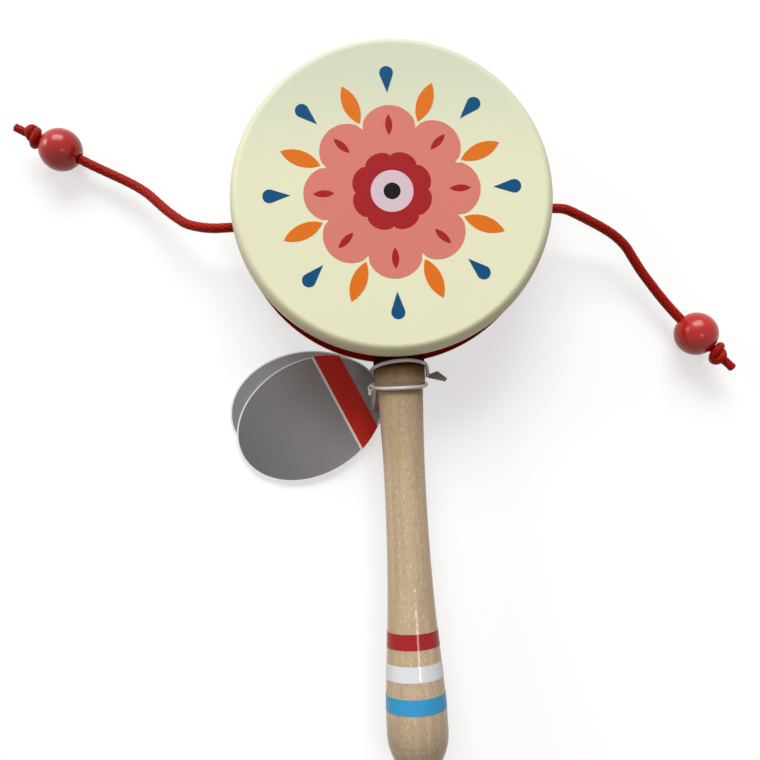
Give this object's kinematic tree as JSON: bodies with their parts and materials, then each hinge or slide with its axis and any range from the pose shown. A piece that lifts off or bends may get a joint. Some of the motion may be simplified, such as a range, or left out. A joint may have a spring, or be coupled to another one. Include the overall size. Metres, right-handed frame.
{
  "type": "pellet drum rattle",
  "caption": "Hand-held pellet drum: a flat two-headed wooden drum on a turned handle, with a pellet on a cord at each side that strikes the heads when it is twirled.",
  "frame": {"origin": "centre of the outer face of the back head, on which the rattle lies", "axes": "+Z through the drum to the front head, -Y along the handle to its free end, +X to the right seen from the front with the handle down"},
  "size_m": [0.233, 0.227, 0.0291],
  "materials": {
    "red_lacquer": "gloss lacquer on beech",
    "cream_lacquer": "satin lacquer on smooth board",
    "clear_beech": "clear satin lacquer",
    "paint_red": "satin paint film",
    "paint_white": "satin paint film",
    "paint_blue": "satin paint film",
    "ink_coral": "satin printed ink",
    "ink_crimson": "satin printed ink",
    "ink_lavender": "satin printed ink",
    "ink_black": "satin printed ink",
    "ink_orange": "satin printed ink",
    "ink_blue": "satin printed ink",
    "red_cord": "tight satin braid",
    "card": "coated printed card",
    "clear_string": "milky nylon string",
    "grey_plastic": "moulded, satin"
  },
  "bodies": {
    "drum": {"drum_ring": "red_lacquer", "front_head": "cream_lacquer", "back_head": "cream_lacquer", "handle": "clear_beech", "band_red": "paint_red", "band_white": "paint_white", "band_blue": "paint_blue", "print_petals": "ink_coral", "print_middle": "ink_crimson", "print_disc": "ink_lavender", "print_dot": "ink_black", "print_leaves": "ink_orange", "print_drops": "ink_blue", "left_stop_knot": "red_cord", "right_stop_knot": "red_cord", "tag_string": "clear_string", "string_knot": "clear_string", "tag_lock": "grey_plastic"},
    "left_cord_root": {"left_cord_link": "red_cord"},
    "left_striker": {"left_cord_lead": "red_cord", "left_pellet": "red_lacquer", "left_end_knot": "red_cord"},
    "right_cord_root": {"right_cord_link": "red_cord"},
    "right_striker": {"right_cord_lead": "red_cord", "right_pellet": "red_lacquer", "right_end_knot": "red_cord"},
    "tag_back": {"tag_back_leaf": "card"},
    "tag_front": {"tag_front_leaf": "card", "tag_band": "paint_red"}
  },
  "joints": [
    {"name": "left_swing", "type": "hinge", "parent": "drum", "child": "left_cord_root", "pos_m": [-0.053, -0.004, 0.0145], "axis": [0.1736, 0.9848, 0], "range_deg": [-80.2, 84.5], "deforming": ["left_cord_link"]},
    {"name": "left_fold", "type": "hinge", "parent": "left_cord_root", "child": "left_striker", "pos_m": [-0.0695, 0, 0.0108], "axis": [0.1736, 0.9848, 0], "range_deg": [-88.22, 92.95], "deforming": ["left_cord_lead"]},
    {"name": "right_swing", "type": "hinge", "parent": "drum", "child": "right_cord_root", "pos_m": [0.053, -0.004, 0.0145], "axis": [-0.3907, -0.9205, 0], "range_deg": [-79.7, 84.8], "deforming": ["right_cord_link"]},
    {"name": "right_fold", "type": "hinge", "parent": "right_cord_root", "child": "right_striker", "pos_m": [0.069, -0.0097, 0.01124], "axis": [-0.3907, -0.9205, 0], "range_deg": [-87.67, 93.28], "deforming": ["right_cord_lead"]},
    {"name": "tag_swing", "type": "hinge", "parent": "drum", "child": "tag_back", "pos_m": [-0.0086, -0.0643, 0], "axis": [-0.0279, 0, 0.9996], "range_deg": [0, 70]},
    {"name": "tag_fan", "type": "hinge", "parent": "tag_back", "child": "tag_front", "pos_m": [-0.0086, -0.0643, 0], "axis": [-0.0279, 0, 0.9996], "range_deg": [0, 40]}
  ],
  "couplings": [
    {"joint": "left_fold", "follows": "left_swing", "ratio": 1.1},
    {"joint": "right_fold", "follows": "right_swing", "ratio": 1.1}
  ]
}
